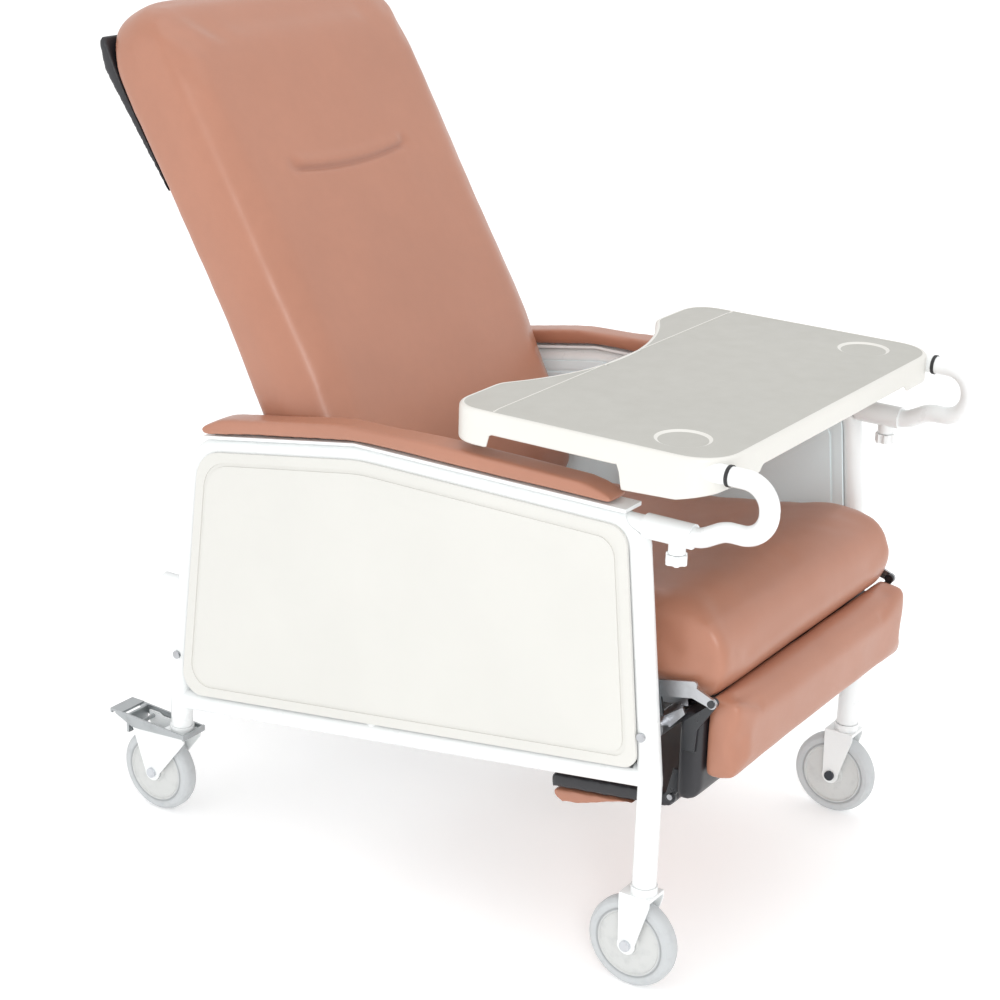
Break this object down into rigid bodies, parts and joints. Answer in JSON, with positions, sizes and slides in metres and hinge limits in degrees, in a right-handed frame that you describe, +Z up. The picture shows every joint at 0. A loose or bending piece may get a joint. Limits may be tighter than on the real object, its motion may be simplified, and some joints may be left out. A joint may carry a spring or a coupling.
{
  "type": "patient recliner chair",
  "caption": "Wheeled reclining patient chair with padded seat, back and arms, folding leg-rest with foot board, side panels and a slide-on tray.",
  "frame": {"origin": "on the floor under the middle of the chair's outline", "axes": "+X to the occupant's left, -Y the way the occupant faces, +Z up"},
  "size_m": [0.6604, 1.1075, 1.1941],
  "materials": {
    "white_paint": "gloss powder coat",
    "bare_steel": "zinc plated",
    "panel_white": "fine moulded grain",
    "panel_grey": "smooth moulded",
    "tray_plastic": "satin moulded",
    "rose_vinyl": "vinyl-coated upholstery fabric",
    "black_vinyl": "upholstery vinyl",
    "black_paint": "satin powder coat",
    "black_plastic": "moulded",
    "plywood": "raw plywood",
    "wheel_grey": "smooth thermoplastic rubber"
  },
  "bodies": {
    "chair": {"frame_left": "white_paint", "frame_right": "white_paint", "caster_sockets": "panel_grey", "rear_cross_tube": "white_paint", "seat_frame": "white_paint", "frame_bolts": "bare_steel", "outer_panel_left": "panel_white", "outer_panel_right": "panel_white", "inner_panel_left": "panel_grey", "inner_panel_right": "panel_grey", "arm_rail_left": "white_paint", "arm_rail_right": "white_paint", "arm_pad_left": "rose_vinyl", "arm_pad_right": "rose_vinyl", "wall_bumpers": "panel_white", "tray_sleeve_left": "white_paint", "tray_sleeve_right": "white_paint", "seat_board": "plywood", "seat_cushion": "rose_vinyl", "back_pins": "bare_steel", "legrest_pins": "bare_steel", "release_pin": "bare_steel"},
    "back": {"back_frame": "bare_steel", "back_board": "plywood", "back_cushion": "rose_vinyl", "back_cover": "black_vinyl", "push_bar": "bare_steel", "position_plate": "bare_steel"},
    "release": {"release_lever": "bare_steel"},
    "legrest": {"legrest_board": "black_vinyl", "legrest_cushion": "rose_vinyl", "legrest_arms": "black_paint", "foot_rod": "bare_steel"},
    "foot": {"foot_board": "black_vinyl", "foot_pad": "rose_vinyl"},
    "tray": {"tray_top": "tray_plastic", "tray_arm_left": "white_paint", "tray_arm_right": "white_paint", "tray_clamps": "black_plastic"},
    "knob_left": {"clamp_knob_left": "panel_white"},
    "knob_right": {"clamp_knob_right": "panel_white"},
    "swivel_front_left": {"fork_front_left": "white_paint", "axle_front_left": "bare_steel"},
    "wheel_front_left": {"wheel_front_left": "wheel_grey"},
    "swivel_front_right": {"fork_front_right": "white_paint", "axle_front_right": "bare_steel"},
    "wheel_front_right": {"wheel_front_right": "wheel_grey"},
    "swivel_rear_left": {"fork_rear_left": "white_paint", "axle_rear_left": "bare_steel"},
    "wheel_rear_left": {"wheel_rear_left": "wheel_grey"},
    "swivel_rear_right": {"fork_rear_right": "white_paint", "axle_rear_right": "bare_steel"},
    "wheel_rear_right": {"wheel_rear_right": "wheel_grey"},
    "brake_left": {"brake_pedal_left": "bare_steel"},
    "brake_right": {"brake_pedal_right": "bare_steel"}
  },
  "joints": [
    {"name": "back_recline", "type": "hinge", "parent": "chair", "child": "back", "pos_m": [0, 0.12878, 0.38365], "axis": [-1, 0, 0], "range_deg": [0, 35]},
    {"name": "release_pull", "type": "hinge", "parent": "chair", "child": "release", "pos_m": [0, 0.14477, 0.296], "axis": [1, 0, 0], "range_deg": [0, 8], "stiffness_Nm_per_rad": 2, "springref_deg": -22.92},
    {"name": "legrest_raise", "type": "hinge", "parent": "chair", "child": "legrest", "pos_m": [0, -0.4635, 0.412], "axis": [-1, 0, 0], "range_deg": [0, 85]},
    {"name": "foot_unfold", "type": "hinge", "parent": "legrest", "child": "foot", "pos_m": [0, -0.4055, 0.258], "axis": [-1, 0, 0], "range_deg": [0, 82]},
    {"name": "tray_slide", "type": "slide", "parent": "chair", "child": "tray", "axis": [0, -1, 0], "range_m": [0, 0.15]},
    {"name": "knob_turn_left", "type": "hinge", "parent": "chair", "child": "knob_left", "pos_m": [0.306, -0.4195, 0.6], "axis": [0, 0, 1], "range_deg": [0, 720]},
    {"name": "knob_turn_right", "type": "hinge", "parent": "chair", "child": "knob_right", "pos_m": [-0.306, -0.4195, 0.6], "axis": [0, 0, 1], "range_deg": [0, 720]},
    {"name": "swivel_front_left", "type": "hinge", "parent": "chair", "child": "swivel_front_left", "pos_m": [0.306, -0.401, 0.15], "axis": [0, 0, 1], "continuous": true},
    {"name": "roll_front_left", "type": "hinge", "parent": "swivel_front_left", "child": "wheel_front_left", "pos_m": [0.306, -0.389, 0.0635], "axis": [1, 0, 0], "continuous": true},
    {"name": "swivel_front_right", "type": "hinge", "parent": "chair", "child": "swivel_front_right", "pos_m": [-0.306, -0.401, 0.15], "axis": [0, 0, 1], "continuous": true},
    {"name": "roll_front_right", "type": "hinge", "parent": "swivel_front_right", "child": "wheel_front_right", "pos_m": [-0.306, -0.389, 0.0635], "axis": [1, 0, 0], "continuous": true},
    {"name": "swivel_rear_left", "type": "hinge", "parent": "chair", "child": "swivel_rear_left", "pos_m": [0.306, 0.394, 0.15], "axis": [0, 0, 1], "continuous": true},
    {"name": "roll_rear_left", "type": "hinge", "parent": "swivel_rear_left", "child": "wheel_rear_left", "pos_m": [0.306, 0.439, 0.0635], "axis": [1, 0, 0], "continuous": true},
    {"name": "swivel_rear_right", "type": "hinge", "parent": "chair", "child": "swivel_rear_right", "pos_m": [-0.306, 0.394, 0.15], "axis": [0, 0, 1], "continuous": true},
    {"name": "roll_rear_right", "type": "hinge", "parent": "swivel_rear_right", "child": "wheel_rear_right", "pos_m": [-0.306, 0.439, 0.0635], "axis": [1, 0, 0], "continuous": true},
    {"name": "brake_press_left", "type": "hinge", "parent": "swivel_rear_left", "child": "brake_left", "pos_m": [0.306, 0.4665, 0.136], "axis": [-1, 0, 0], "range_deg": [0, 9]},
    {"name": "brake_press_right", "type": "hinge", "parent": "swivel_rear_right", "child": "brake_right", "pos_m": [-0.306, 0.4665, 0.136], "axis": [-1, 0, 0], "range_deg": [0, 9]}
  ],
  "couplings": [
    {"joint": "foot_unfold", "follows": "legrest_raise", "ratio": 0.96471}
  ]
}
